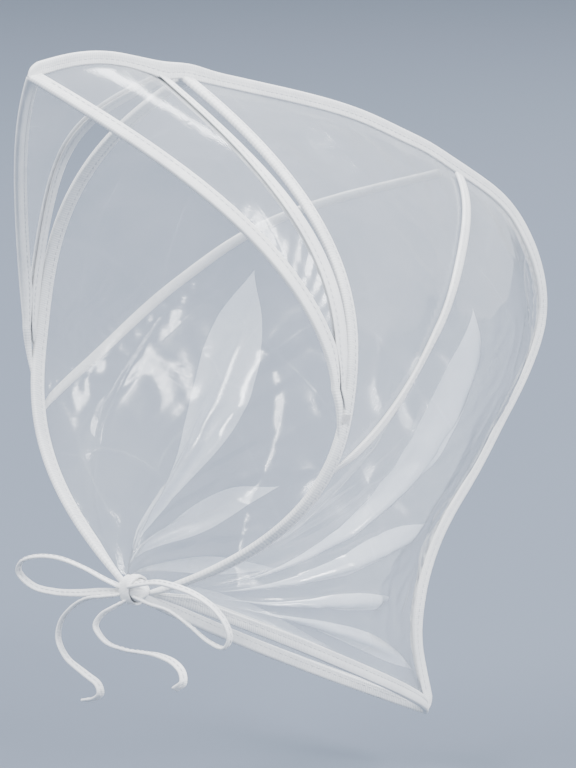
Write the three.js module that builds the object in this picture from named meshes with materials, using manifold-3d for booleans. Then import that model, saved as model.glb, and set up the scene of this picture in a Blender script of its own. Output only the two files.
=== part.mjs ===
// Rain bonnet: a hood of clear film with a stand-out visor, tied under the chin.
// Millimetres, +Z up. The face looks along -Y and the wearer's left is +X.
// Shapes are worked out from the chin knot. The whole is then moved so that the
// origin is where the top of the head touches the inside of the crown.

import * as THREE from 'three';
import { mergeVertices } from 'three/addons/utils/BufferGeometryUtils.js';
import Module from 'manifold-3d';

const wasm = await Module();
wasm.setup();

// Driving dimensions of the hood
const FACE_WIDTH = 219;       // face opening at its widest
const FACE_HEIGHT = 242;      // chin knot up to the front of the crown
const HOOD_DEPTH = 280;       // chin knot back to the fullest part of the crown
const NAPE_DROP = 93;         // chin knot down to the point at the nape
const PANEL_BOW = 17;         // how far the panels bow past a straight run
const CORNER_SPREAD = 18;     // between the two chin corners
const CORNER_DEPTH = 9.6;     // chin corners behind the front of the knot
const CORNER_RISE = 1.6;      // chin corners above the middle of the knot
const HEAD_SEAT = 85;         // top of the head behind the chin knot
const CROWN_DROP = 10;        // top of the head below the front of the crown

// Visor
const VISOR_REACH = 54;       // tip of the visor in front of the chin knot
const VISOR_RISE = 7;         // tip of the visor above the front of the crown
const VISOR_DOME = 7;         // rise of the visor between its two edges
const VISOR_SAG = 14;         // how far the front edge curves in from straight
const SIDE_SLIT = 10;         // widest slit between visor and face edge
const CROWN_SLIT = 8;         // extra slit at the top of the face edge
const SLIT_TURN = THREE.MathUtils.degToRad(45);  // way that the slit opens, from straight ahead

// Film and tapes
const FILM = 1;
const CLEARANCE = 0.3;
const BINDING_WIDTH = 5;      // part of a folded binding that lies on the film
const BINDING_WALL = 0.8;
const CORNER_PART = 0.16;     // most of the film's width that a binding takes at the chin
const TEMPLE_PART = 0.4;      // and at the temples
const SEAM_TAPE_WIDTH = 5;
const SEAM_TAPE_WALL = 0.9;
const FIN_RISE = 5;           // centre tape, which stands up from the ridge
const FIN_THICKNESS = 2.6;
const FIN_ROUND = 0.8;        // rounding along its top

// Ties
const TIE_WIDTH = 3.6;
const KNOT_WIDTH = 20;
const KNOT_HEIGHT = 14;
const KNOT_DEPTH = 13;
const KNOT_BACK = 5;          // middle of the knot behind the front of the loops
const KNOT_RISE = 2.5;

// Pleats of the back panels
const PLEAT_HEIGHT = 7;

// Ribs fan from a chin corner up to the centre line, from the face edge (first
// row) over the crown to the lower edge (last row), at equal steps.
// depth: share of HOOD_DEPTH. height: share of FACE_HEIGHT, or of NAPE_DROP where
// negative. half: share of half of FACE_WIDTH. bow: share of PANEL_BOW.
const RIBS = [
  { depth: 0.135, height: 1.000, half: 1.00, bow: 1.00 },
  { depth: 0.475, height: 0.901, half: 0.94, bow: 0.44 },
  { depth: 0.645, height: 0.826, half: 0.87, bow: -0.10 },
  { depth: 0.755, height: 0.764, half: 0.81, bow: -0.66 },
  { depth: 0.930, height: 0.627, half: 0.71, bow: -0.55 },
  { depth: 1.000, height: 0.411, half: 0.62, bow: -0.44 },
  { depth: 0.868, height: 0.172, half: 0.55, bow: -0.32 },
  { depth: 0.732, height: -0.04, half: 0.49, bow: -0.20 },
  { depth: 0.682, height: -0.51, half: 0.44, bow: -0.09 },
  { depth: 0.714, height: -1.00, half: 0.42, bow: 0.03 },
];
const FULLEST = 0.45;         // share of a rib at which it is widest
const RIB_POWER = 2.55;       // how square the ribs are
const SEAM_RIB = 0.35;        // rib on which the back seam meets the centre line
const SEAM_FORK = 0.27;       // share of the face edge at which the back seam leaves it
const SEAM_POWER = 1.56;
const TEMPLE = 0.46;          // share of the face edge at which the visor starts
const VISOR_POWER = 1.72;     // how square the visor's front edge is
const SAG_POWER = 0.8;        // below 1, that edge curves in most near the temples
const SLIT_POWER = 3;         // above 1, the slit is widest near the centre line

// Pleats: each starts on one rib near the corner and ends on another.
// start and end: rib at each end. from and to: share of the rib. bend: above 1
// keeps near the first rib for longer. half: half width in ribs. height: share.
const PLEAT_START = 0.4;      // part of its width that a pleat has where it starts
const PLEATS = [
  { start: 0.70, end: 0.37, from: 0.07, to: 0.70, bend: 1.0, half: 0.055, height: 1.0 },
  { start: 0.77, end: 0.70, from: 0.08, to: 0.64, bend: 0.6, half: 0.050, height: 0.8 },
  { start: 0.83, end: 0.84, from: 0.10, to: 0.70, bend: 1.0, half: 0.032, height: 0.6 },
  { start: 0.88, end: 0.95, from: 0.12, to: 0.84, bend: 1.0, half: 0.028, height: 0.6 },
];

// Routes of the ties from the knot, as points chosen on the drawn bow
const LOOP_RIGHT_ROUTE = [
  [-6, 1, 4], [-12.5, -1, 6], [-24, -5, 10.5], [-37.5, -9, 13.5], [-52, -12, 12.2], [-61, -13, 8],
  [-63.5, -12, 2.5], [-57, -9, -3.4], [-43.3, -6, -4.6], [-29, -3, -3], [-18, 0, -1], [-6, 3, 0.5],
];
const LOOP_LEFT_ROUTE = [
  [5, 0, 6], [13.4, -1, 8.5], [22, 0, 10.6], [31, 1, 10.8], [44.8, 4, 8.3], [55, 7, 3], [61, 9, -4],
  [62.5, 10, -10.5], [58.5, 10, -15.8], [50, 8, -14], [41, 5, -8.1], [30, 2, -2.4], [18, 0.5, -1],
  [6, 2, 0],
];
const TAIL_RIGHT_ROUTE = [
  [-5, -1, 0], [-12.4, -3, -1.8], [-22, -4.2, -4.2], [-31.5, -5, -9.5], [-39.5, -6, -18],
  [-41.2, -6.5, -26.8], [-35, -7, -34.6], [-22.5, -6, -40.6], [-14, -5, -44.6],
  [-12.3, -5, -48.5], [-16, -5, -51.8], [-23.7, -6, -54.1],
];
const TAIL_LEFT_ROUTE = [
  [-1, 0, -3], [-5, -3, -5.8], [-10.5, -5.5, -10], [-13, -7, -15.5], [-7, -6, -22.2], [4.6, -4, -24.4],
  [15, -2.6, -24], [25, -2, -23.4], [37, -2, -24.8], [44, -3, -28.2], [45.6, -4, -32.4], [41, -5, -36.3],
];

// Mesh steps
const RIB_STEPS = 20;         // along a rib, from corner to centre line
const CROWN_STEPS = 7;        // across a crown panel
// Across a pleated panel: up to the first pleat, over each half pleat and between
const BACK_COLUMNS = [6, 2, 2, 1, 2, 2, 1, 2, 2, 1, 2, 2, 1];
const BACK_STEPS = BACK_COLUMNS.reduce((sum, count) => sum + count, 0);
const EDGE_CROWD = 1.6;       // above 1, columns crowd towards the panel's front edge
const RIDGE_CROWD = 0.9;      // below 1, rows crowd towards the centre line
const VISOR_STEPS = 16;       // along half of the visor
const VISOR_ROWS = 5;         // across the visor
const FILM_START = 0.02;      // share of a rib at which the film starts
const TIE_SIDES = 8;
const TIE_STEP = 2.2;         // length of a step, in widths of the tie
const KNOT_SIDES = 16;
const KNOT_RINGS = 10;
const KNOT_SQUARENESS = 0.8;  // below 1 is squarer than an ellipsoid
const SMALL = 1e-3;

const vec = (x, y, z) => new THREE.Vector3(x, y, z);
const mix = THREE.MathUtils.lerp;
const clamp01 = (t) => THREE.MathUtils.clamp(t, 0, 1);
const range = (count) => Array.from({ length: count + 1 }, (_, i) => i / count);

// Smooth run through equally spaced values
function through(values, t) {
  const last = values.length - 1;
  const at = clamp01(t) * last;
  const i = Math.min(Math.floor(at), last - 1);
  const f = at - i;
  const b = values[i];
  const c = values[i + 1];
  const a = i > 0 ? values[i - 1] : 2 * b - c;
  const d = i < last - 1 ? values[i + 2] : 2 * c - b;
  const slope = -a + c;
  const curve = 2 * a - 5 * b + 4 * c - d;
  const twist = -a + 3 * b - 3 * c + d;
  return 0.5 * (2 * b + slope * f + curve * f * f + twist * f * f * f);
}

const RIB_DEPTHS = RIBS.map((rib) => rib.depth * HOOD_DEPTH);
const RIB_HEIGHTS = RIBS.map((rib) => rib.height * (rib.height < 0 ? NAPE_DROP : FACE_HEIGHT));
const RIB_HALVES = RIBS.map((rib) => rib.half * FACE_WIDTH / 2);
const RIB_BOWS = RIBS.map((rib) => rib.bow * PANEL_BOW);

// Point of the plain hood on the wearer's left: rib 0 is the face edge and rib 1
// the lower edge, share 0 the chin corner and share 1 the centre line.
function hood(rib, share) {
  const depth = through(RIB_DEPTHS, rib) - CORNER_DEPTH;
  const rise = through(RIB_HEIGHTS, rib) - CORNER_RISE;
  const half = through(RIB_HALVES, rib);
  const run = Math.hypot(depth, rise);
  const bow = through(RIB_BOWS, rib) * Math.sin(Math.PI * clamp01(share));
  const x = share < FULLEST
    ? half - (half - CORNER_SPREAD / 2) * ((FULLEST - share) / FULLEST) ** RIB_POWER
    : half * (1 - ((share - FULLEST) / (1 - FULLEST)) ** RIB_POWER);
  const y = CORNER_DEPTH + depth * share + bow * rise / run;
  const z = CORNER_RISE + rise * share - bow * depth / run;
  return vec(x, y, z);
}

// Frame of a half surface. Its first parameter runs across, its second along, from
// the wearer's left (0) to the centre plane (1). rate: length across per unit.
function frame(surface, across, along) {
  const v = THREE.MathUtils.clamp(along, FILM_START, 1 - SMALL);
  const low = Math.max(across - SMALL, 0);
  const high = Math.min(across + SMALL, 1);
  const forward = surface(across, v + SMALL).sub(surface(across, v - SMALL)).normalize();
  const over = surface(high, v).sub(surface(low, v));
  over.addScaledVector(forward, -over.dot(forward));
  const rate = over.length() / (high - low);
  over.normalize();
  const outward = vec().crossVectors(over, forward).normalize();
  return { point: surface(across, along), along: forward, across: over, outward, rate };
}

function backSeam(share) {
  const run = clamp01((share - SEAM_FORK) / (1 - SEAM_FORK));
  return SEAM_RIB * (1 - (1 - run) ** SEAM_POWER);
}

// Middle and half width of a pleat, in ribs: it widens away from the corner
function pleatLine(pleat, share) {
  const run = clamp01((share - pleat.from) / (pleat.to - pleat.from));
  const half = pleat.half * mix(PLEAT_START, 1, run);
  return { run, half, middle: mix(pleat.start, pleat.end, run ** pleat.bend) };
}

function pleatHeight(rib, share) {
  return PLEATS.reduce((height, pleat) => {
    const { run, half, middle } = pleatLine(pleat, share);
    const off = Math.min(Math.abs(rib - middle) / half, 1);
    const top = PLEAT_HEIGHT * pleat.height * Math.sin(Math.PI * run);
    return height + top * Math.cos(Math.PI * off / 2) ** 2;
  }, 0);
}

// Ribs of a back panel's mesh columns. They follow the feet and the crests of the
// pleats, and spread evenly again towards the centre line.
function backRibs(share) {
  const start = backSeam(share);
  const lines = PLEATS.flatMap((pleat) => {
    const { half, middle } = pleatLine(pleat, share);
    const relax = THREE.MathUtils.smoothstep(share, pleat.to, 1);
    return [middle - half, middle, middle + half].map((rib) => ({ rib, relax }));
  });
  let column = 0;
  let before = start;
  const ribs = [];
  [...lines, { rib: 1, relax: 0 }].forEach(({ rib, relax }, k) => {
    column += BACK_COLUMNS[k];
    const even = mix(start, 1, column / BACK_STEPS);
    const line = mix(rib, even, relax);
    const crowd = k ? 1 : EDGE_CROWD;
    for (const t of range(BACK_COLUMNS[k]).slice(0, -1)) ribs.push(mix(before, line, t ** crowd));
    before = line;
  });
  return [...ribs, 1];
}

function pleatedHood(rib, share) {
  const { outward } = frame(hood, rib, share);
  return hood(rib, share).addScaledVector(outward, pleatHeight(rib, share));
}

// Visor
const BINDING_EDGE = CLEARANCE + BINDING_WALL;
const EDGE_GAP = 2 * BINDING_EDGE + 2 * CLEARANCE;
const ROOT_GAP = BINDING_WIDTH + EDGE_GAP;

function visorBase(t) {
  const point = hood(0, mix(TEMPLE, 1, t));
  const slit = SIDE_SLIT * Math.sin(Math.PI * clamp01(t) ** SLIT_POWER);
  const ahead = EDGE_GAP + slit * Math.cos(SLIT_TURN) + CROWN_SLIT * t * t;
  return point.add(vec(slit * Math.sin(SLIT_TURN), -ahead, 0));
}

function visorRim(t) {
  const root = hood(0, TEMPLE).add(vec(0, -ROOT_GAP, 0));
  const depth = -VISOR_REACH - root.y;
  const rise = FACE_HEIGHT + VISOR_RISE - root.z;
  const run = Math.hypot(depth, rise);
  const sag = VISOR_SAG * Math.sin(Math.PI * clamp01(t) ** SAG_POWER);
  const x = root.x * (1 - t ** VISOR_POWER);
  return vec(x, root.y + depth * t + sag * rise / run, root.z + rise * t - sag * depth / run);
}

// Point of the visor: across 0 is its rear edge and 1 its front edge
function visor(across, t) {
  const base = visorBase(t);
  const rim = visorRim(t);
  const lift = VISOR_DOME * t * t * Math.sin(Math.PI * across);
  const out = rim.clone().sub(base).normalize();
  return base.lerp(rim, across).add(vec(0, out.z * lift, Math.abs(out.y) * lift));
}

// Closed geometry from corner points and triangles, faces turned outward
function solid(points, faces) {
  const geometry = new THREE.BufferGeometry();
  const position = new Float32Array(points.flatMap((p) => [p.x, p.y, p.z]));
  geometry.setAttribute('position', new THREE.BufferAttribute(position, 3));
  let volume = 0;
  for (const [a, b, c] of faces) {
    volume += points[a].dot(vec().crossVectors(points[b], points[c]));
  }
  const turned = volume > 0 ? faces : faces.map(([a, b, c]) => [a, c, b]);
  geometry.setIndex(turned.flat());
  return geometry;
}

// Film panel: a grid of points with half the film on each side of it
function filmPanel(grid) {
  const rows = grid.length;
  const columns = grid[0].length;
  const points = [];
  for (const side of [0.5, -0.5]) {
    for (let i = 0; i < rows; i++) {
      for (let j = 0; j < columns; j++) {
        const down = grid[Math.min(i + 1, rows - 1)][j].clone().sub(grid[Math.max(i - 1, 0)][j]);
        const over = grid[i][Math.min(j + 1, columns - 1)].clone().sub(grid[i][Math.max(j - 1, 0)]);
        const normal = vec().crossVectors(down, over).normalize();
        points.push(grid[i][j].clone().addScaledVector(normal, side * FILM));
      }
    }
  }
  const at = (layer, i, j) => layer * rows * columns + i * columns + j;
  const faces = [];
  for (let i = 0; i + 1 < rows; i++) {
    for (let j = 0; j + 1 < columns; j++) {
      const [a, b, c, d] = [at(0, i, j), at(0, i + 1, j), at(0, i + 1, j + 1), at(0, i, j + 1)];
      const [e, f, g, h] = [at(1, i, j), at(1, i + 1, j), at(1, i + 1, j + 1), at(1, i, j + 1)];
      faces.push([a, b, c], [a, c, d], [e, g, f], [e, h, g]);
    }
  }
  const rim = [];
  for (let j = 0; j < columns; j++) rim.push([0, j]);
  for (let i = 1; i < rows; i++) rim.push([i, columns - 1]);
  for (let j = columns - 2; j >= 0; j--) rim.push([rows - 1, j]);
  for (let i = rows - 2; i > 0; i--) rim.push([i, 0]);
  rim.forEach(([i, j], k) => {
    const [m, n] = rim[(k + 1) % rim.length];
    faces.push([at(0, i, j), at(0, m, n), at(1, m, n)], [at(0, i, j), at(1, m, n), at(1, i, j)]);
  });
  return solid(points, faces);
}

// Closed solid through rings of equally many points, with flat ends
function sweep(rings, outline) {
  const sides = outline.length;
  const sense = Math.sign(THREE.ShapeUtils.area(outline));
  const last = (rings.length - 1) * sides;
  const faces = [];
  for (let start = 0; start < last; start += sides) {
    for (let k = 0; k < sides; k++) {
      const a = start + k;
      const b = start + (k + 1) % sides;
      faces.push([a, b, b + sides], [a, b + sides, a + sides]);
    }
  }
  for (const corners of THREE.ShapeUtils.triangulateShape(outline, [])) {
    const turned = Math.sign(THREE.ShapeUtils.area(corners.map((k) => outline[k]))) !== sense;
    const [a, b, c] = turned ? corners.slice().reverse() : corners;
    faces.push([a, c, b], [last + a, last + b, last + c]);
  }
  return solid(rings.flat(), faces);
}

// Tape on a surface. Each station has a frame at both edges of the tape, and each
// section point is [edge, distance beyond it, height off the surface].
function tape(stations, section) {
  const rings = stations.map((edges) => section.map(([edge, past, height]) => {
    const { point, across, outward } = edges[edge];
    return point.clone().addScaledVector(across, past).addScaledVector(outward, height);
  }));
  const flat = ([edge, past, height]) => new THREE.Vector2(edge * BINDING_WIDTH + past, height);
  const outline = section.map(flat);
  return sweep(rings, outline);
}

// Folded binding: a wall on each side of the film, joined round the film's edge
const SLOT = FILM / 2 + CLEARANCE;
const OUTER = SLOT + BINDING_WALL;
const FOLDED = [
  [0, -BINDING_EDGE, OUTER], [1, 0, OUTER], [1, 0, SLOT], [0, -CLEARANCE, SLOT],
  [0, -CLEARANCE, -SLOT], [1, 0, -SLOT], [1, 0, -OUTER], [0, -BINDING_EDGE, -OUTER],
];

// Flat tape that lies on the outside of the film, over a seam
const LAID_TOP = SLOT + SEAM_TAPE_WALL;
const LAID = [[0, 0, SLOT], [1, 0, SLOT], [1, 0, LAID_TOP], [0, 0, LAID_TOP]];

// Station of a folded binding: the film's edge, and the line where the binding
// ends. Towards a corner it narrows to a part of the film that is left there.
function edgeStation(surface, edge, along) {
  const turn = edge ? -1 : 1;
  const outer = frame(surface, edge, along);
  const room = surface(0, along).distanceTo(surface(1, along));
  const width = Math.min(BINDING_WIDTH, room * (surface === hood ? CORNER_PART : TEMPLE_PART));
  const inner = frame(surface, edge + turn * width / outer.rate, along);
  return [outer, inner].map((f) => ({ ...f, across: f.across.clone().multiplyScalar(turn) }));
}

// In the centre plane a station lies flat, so that the two halves meet in a mitre
function mitre(station) {
  const flatten = (v, along) => v.clone().addScaledVector(along, -v.x / along.x);
  return station.map(({ point, along, across, outward }) => ({
    point: vec(0, point.y, point.z), across: flatten(across, along), outward: flatten(outward, along),
  }));
}

const flipX = (v) => vec(-v.x, v.y, v.z);
const flipGrid = (grid) => grid.map((row) => row.map(flipX));
const flipStation = (station) => station.map(({ point, across, outward }) => ({
  point: flipX(point), across: flipX(across), outward: flipX(outward),
}));

// Folded binding from one side of the head over the centre plane to the other
function binding(surface, edge, places) {
  const left = places.map((along) => edgeStation(surface, edge, along));
  const middle = mitre(left.pop());
  return tape([...left, middle, ...left.slice().reverse().map(flipStation)], FOLDED);
}

// Room that a mitred binding takes on the centre line, with a clearance
function mitreRoom(surface, edge) {
  const [outer, inner] = mitre(edgeStation(surface, edge, 1));
  return outer.point.distanceTo(inner.point) + OUTER + CLEARANCE;
}

// Shares of a rib: every panel and tape steps along it at the same places
const SHARES = range(RIB_STEPS).map((t) => mix(FILM_START, 1, t ** RIDGE_CROWD));
const SEAM_GAP = CLEARANCE / 2;

// Share of a rib, kept short of the centre plane by half the gap between halves
function panelShare(rib, share) {
  const step = hood(rib, 1).distanceTo(hood(rib, 1 - SMALL)) / SMALL;
  const lean = Math.abs(frame(hood, rib, 1).outward.x);
  return Math.min(share, 1 - (SEAM_GAP + lean * FILM) / step);
}

function crownGrid() {
  const width = (share) => hood(0, share).distanceTo(hood(backSeam(share), share));
  return SHARES.filter((share) => width(share) > FILM).map((share) => {
    const seam = backSeam(share);
    const stop = seam - SEAM_GAP / frame(hood, seam, share).rate;
    return range(CROWN_STEPS).map((t) => hood(stop * t, panelShare(stop * t, share)));
  });
}

function backGrid() {
  return SHARES.map((share) => {
    const seam = backSeam(share);
    const start = seam > 0 ? seam + SEAM_GAP / frame(hood, seam, share).rate : 0;
    return backRibs(share).map((rib) => pleatedHood(Math.max(rib, start), panelShare(rib, share)));
  });
}

// Back seam tape: from clear of the face binding up to clear of the centre tape
function backSeamBinding() {
  const half = SEAM_TAPE_WIDTH / 2;
  const wedge = (share) => hood(0, share).distanceTo(hood(backSeam(share), share));
  const step = hood(SEAM_RIB, 1).distanceTo(hood(SEAM_RIB, 1 - SMALL)) / SMALL;
  const top = 1 - (FIN_THICKNESS + 2 * CLEARANCE) / step;
  const clear = BINDING_WIDTH + half + CLEARANCE;
  const shares = SHARES.filter((share) => wedge(share) > clear && share < top);
  return tape([...shares, top].map((share) => {
    const seam = backSeam(share);
    const { rate } = frame(hood, seam, share);
    return [frame(hood, seam - half / rate, share), frame(hood, seam + half / rate, share)];
  }), LAID);
}

const VISOR_PLACES = range(VISOR_STEPS).map((t) => Math.max(t, SMALL));
const RIDE_FROM = 1.5 * BINDING_WIDTH;
const RIDE_TO = 3 * BINDING_WIDTH;

function visorPanel() {
  const left = VISOR_PLACES.map((t) => range(VISOR_ROWS).map((across) => visor(across, t)));
  return filmPanel([...left, ...flipGrid(left).reverse().slice(1)]);
}

// Places of the centre tape, from clear of the visor's rim to clear of the hem
function centreFrames() {
  const rimRoom = mitreRoom(visor, 1) / visor(1, 1).distanceTo(visor(0, 1));
  const hemRate = hood(1, 1).distanceTo(hood(1 - SMALL, 1)) / SMALL;
  const hemRoom = mitreRoom(hood, 1) / hemRate;
  const rows = range(VISOR_ROWS).reverse().filter((across) => across < 1 - rimRoom);
  const crownRibs = range(CROWN_STEPS).map((t) => SEAM_RIB * t);
  const ribs = [...crownRibs, ...backRibs(1).slice(1)].filter((rib) => rib < 1 - hemRoom);
  return [
    ...[1 - rimRoom, ...rows].map((across) => frame(visor, across, 1)),
    ...[...ribs, 1 - hemRoom].map((rib) => frame(hood, rib, 1)),
  ];
}

// Centre tape: folded over the joined edges of the two halves, so that it stands up
// from the ridge as a fin. It rides up over the bindings that it crosses.
function centreBinding() {
  const frames = centreFrames();
  const crossings = [visor(0, 1), hood(0, 1)];
  const half = FIN_THICKNESS / 2;
  const rings = frames.map(({ point, along }, i) => {
    const before = frames[Math.max(i - 1, 0)].point;
    const after = frames[Math.min(i + 1, frames.length - 1)].point;
    const ridge = after.clone().sub(before).normalize();
    const up = vec().crossVectors(vec(1, 0, 0), ridge).normalize();
    const slope = along.clone().addScaledVector(ridge, -along.dot(ridge)).normalize();
    const nearest = Math.min(...crossings.map((crossing) => crossing.distanceTo(point)));
    const near = THREE.MathUtils.smoothstep(nearest, RIDE_FROM, RIDE_TO);
    const foot = (SLOT + (BINDING_WALL + 2 * CLEARANCE) * (1 - near)) / Math.abs(slope.x);
    const section = [
      [half, 0], [half, FIN_RISE - FIN_ROUND], [half - FIN_ROUND, FIN_RISE],
      [FIN_ROUND - half, FIN_RISE], [-half, FIN_RISE - FIN_ROUND], [-half, 0],
    ];
    return section.map(([side, rise]) => point.clone()
      .add(vec(side, 0, 0))
      .addScaledVector(up, foot + rise));
  });
  const outline = rings[0].map((p) => new THREE.Vector2(p.x, p.z));
  return sweep(rings, outline);
}

// Knot: a rounded block, squarer than an ellipsoid
function knotShape(grow) {
  const geometry = new THREE.SphereGeometry(1, KNOT_SIDES, KNOT_RINGS);
  const place = geometry.attributes.position;
  const halves = [KNOT_WIDTH / 2 + grow, KNOT_DEPTH / 2 + grow, KNOT_HEIGHT / 2 + grow];
  const squarer = (value) => Math.sign(value) * Math.abs(value) ** KNOT_SQUARENESS;
  for (let i = 0; i < place.count; i++) {
    const [x, y, z] = [place.getX(i), place.getY(i), place.getZ(i)].map(squarer);
    place.setXYZ(i, x * halves[0], y * halves[1] + KNOT_BACK, z * halves[2] + KNOT_RISE);
  }
  return geometry;
}

function toManifold(geometry) {
  const bare = geometry.clone();
  bare.deleteAttribute('normal');
  bare.deleteAttribute('uv');
  const merged = mergeVertices(bare, SMALL);
  return new wasm.Manifold(new wasm.Mesh({
    numProp: 3,
    vertProperties: merged.attributes.position.array,
    triVerts: new Uint32Array(merged.index.array),
  }));
}

function fromManifold(manifold) {
  const mesh = manifold.getMesh();
  const geometry = new THREE.BufferGeometry();
  geometry.setAttribute('position', new THREE.BufferAttribute(mesh.vertProperties, 3));
  geometry.setIndex(new THREE.BufferAttribute(mesh.triVerts, 1));
  return geometry;
}

// What runs into the knot is cut back to a small gap from it
function seatOnKnot(geometry) {
  return fromManifold(toManifold(geometry).subtract(toManifold(knotShape(CLEARANCE))));
}

function tie(route) {
  const curve = new THREE.CatmullRomCurve3(route.map(([x, y, z]) => vec(x, y, z)));
  const section = new THREE.Shape();
  section.absarc(0, 0, TIE_WIDTH / 2, 0, 2 * Math.PI);
  const steps = Math.ceil(curve.getLength() / (TIE_STEP * TIE_WIDTH));
  const tube = new THREE.ExtrudeGeometry(section, {
    steps, extrudePath: curve, bevelEnabled: false, curveSegments: TIE_SIDES / 2,
  });
  return seatOnKnot(tube);
}

const FILM_FINISH = { color: 0xdfe6ee, roughness: 0.15, metalness: 0 };
const TAPE_FINISH = { color: 0xf2f3f5, roughness: 0.55, metalness: 0 };

function piece(name, geometry, finish) {
  const mesh = new THREE.Mesh(geometry, new THREE.MeshStandardMaterial(finish));
  mesh.name = name;
  return mesh;
}

function mirrored(geometry) {
  const position = geometry.attributes.position;
  const points = [];
  for (let i = 0; i < position.count; i++) {
    points.push(vec(-position.getX(i), position.getY(i), position.getZ(i)));
  }
  const index = Array.from(geometry.index.array);
  const faces = [];
  for (let i = 0; i < index.length; i += 3) faces.push(index.slice(i, i + 3));
  return solid(points, faces);
}

const crown = crownGrid();
const back = backGrid();
const seamTape = backSeamBinding();

const bonnet = new THREE.Group();
bonnet.position.set(0, -HEAD_SEAT, CROWN_DROP - FACE_HEIGHT);
bonnet.add(
  piece('visor', visorPanel(), FILM_FINISH),
  piece('crown_left', filmPanel(crown), FILM_FINISH),
  piece('crown_right', filmPanel(flipGrid(crown)), FILM_FINISH),
  piece('back_left', filmPanel(back), FILM_FINISH),
  piece('back_right', filmPanel(flipGrid(back)), FILM_FINISH),
  piece('visor_rim_binding', binding(visor, 1, VISOR_PLACES), TAPE_FINISH),
  piece('visor_base_binding', binding(visor, 0, VISOR_PLACES), TAPE_FINISH),
  piece('face_binding', seatOnKnot(binding(hood, 0, [0, ...SHARES])), TAPE_FINISH),
  piece('centre_seam_binding', centreBinding(), TAPE_FINISH),
  piece('back_seam_binding_left', seamTape, TAPE_FINISH),
  piece('back_seam_binding_right', mirrored(seamTape), TAPE_FINISH),
  piece('hem_binding', seatOnKnot(binding(hood, 1, SHARES)), TAPE_FINISH),
  piece('tie_knot', knotShape(0), TAPE_FINISH),
  piece('bow_loop_left', tie(LOOP_LEFT_ROUTE), TAPE_FINISH),
  piece('bow_loop_right', tie(LOOP_RIGHT_ROUTE), TAPE_FINISH),
  piece('tie_tail_left', tie(TAIL_LEFT_ROUTE), TAPE_FINISH),
  piece('tie_tail_right', tie(TAIL_RIGHT_ROUTE), TAPE_FINISH),
);

const group = new THREE.Group();
group.add(bonnet);

export default group;
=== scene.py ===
import math

import bpy
import numpy as np
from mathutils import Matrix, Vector, noise


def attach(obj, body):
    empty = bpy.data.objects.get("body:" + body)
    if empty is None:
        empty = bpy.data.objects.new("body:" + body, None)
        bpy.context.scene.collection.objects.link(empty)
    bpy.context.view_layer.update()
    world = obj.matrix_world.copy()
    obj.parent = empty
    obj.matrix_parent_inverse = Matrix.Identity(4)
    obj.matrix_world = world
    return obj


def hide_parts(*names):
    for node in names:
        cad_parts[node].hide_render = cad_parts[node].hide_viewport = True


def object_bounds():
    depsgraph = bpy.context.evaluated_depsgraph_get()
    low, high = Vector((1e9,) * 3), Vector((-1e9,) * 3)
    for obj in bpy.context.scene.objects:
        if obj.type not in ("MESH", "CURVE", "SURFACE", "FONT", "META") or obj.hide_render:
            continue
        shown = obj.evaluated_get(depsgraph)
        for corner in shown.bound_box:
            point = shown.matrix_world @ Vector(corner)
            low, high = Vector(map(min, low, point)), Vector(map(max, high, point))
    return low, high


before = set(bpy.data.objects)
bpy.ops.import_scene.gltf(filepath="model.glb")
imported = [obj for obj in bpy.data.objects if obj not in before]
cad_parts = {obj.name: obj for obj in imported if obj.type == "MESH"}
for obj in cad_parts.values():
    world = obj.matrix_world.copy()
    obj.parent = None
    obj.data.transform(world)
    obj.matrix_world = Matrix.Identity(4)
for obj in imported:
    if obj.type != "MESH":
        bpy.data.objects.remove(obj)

CAD_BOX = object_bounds()

# Shapes are worked out in millimetres from the chin knot, as in the part's source.
# MM and SHIFT take them to the frame, whose origin is the crown's seat on the head.
MM = 0.001
FACE_WIDTH = 219.0
FACE_HEIGHT = 242.0
HOOD_DEPTH = 280.0
NAPE_DROP = 93.0
PANEL_BOW = 17.0
CORNER_SPREAD = 18.0
CORNER_DEPTH = 9.6
CORNER_RISE = 1.6
HEAD_SEAT = 85.0
CROWN_ROOM = 10.0
SHIFT = np.array([0.0, -HEAD_SEAT, CROWN_ROOM - FACE_HEIGHT])

# Visor: its run forward and up, its dome and sag, and the slit behind it
VISOR_REACH = 54.0
VISOR_RISE = 7.0
VISOR_DOME = 7.0
VISOR_SAG = 14.0
SIDE_SLIT = 10.0
CROWN_SLIT = 8.0

# Film and bindings. A binding takes no more than a part of the room at the chin corners
# and at the temples.
CLEARANCE = 0.3
SOLID_FILM = 1.0
BINDING_WIDTH = 5.0
BINDING_WALL = 0.8
CORNER_PART = 0.16
TEMPLE_PART = 0.4

# Centre tape: how far it stands from the ridge, how thick it is, the place across the
# visor where it starts, and the rib where it ends
FIN_RISE = 5.0
FIN_THICKNESS = 2.6
FIN_START = 0.93
FIN_END = 0.985

# The back seam's tape, which is thicker here than in the part's source, and the shares
# of the rib where it starts and ends
SEAM_TAPE_WIDTH = 5.0
SEAM_TAPE_WALL = 1.5
SEAM_TAPE_FROM = 0.30
SEAM_TAPE_TO = 0.985

# A folded binding's half height inside and outside, its reach past the film's edge, and
# the gaps that it needs between two edges
SLOT = SOLID_FILM / 2 + CLEARANCE
OUTER = SLOT + BINDING_WALL
BINDING_EDGE = CLEARANCE + BINDING_WALL
EDGE_GAP = 2 * BINDING_EDGE + 2 * CLEARANCE
ROOT_GAP = BINDING_WIDTH + EDGE_GAP

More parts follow.
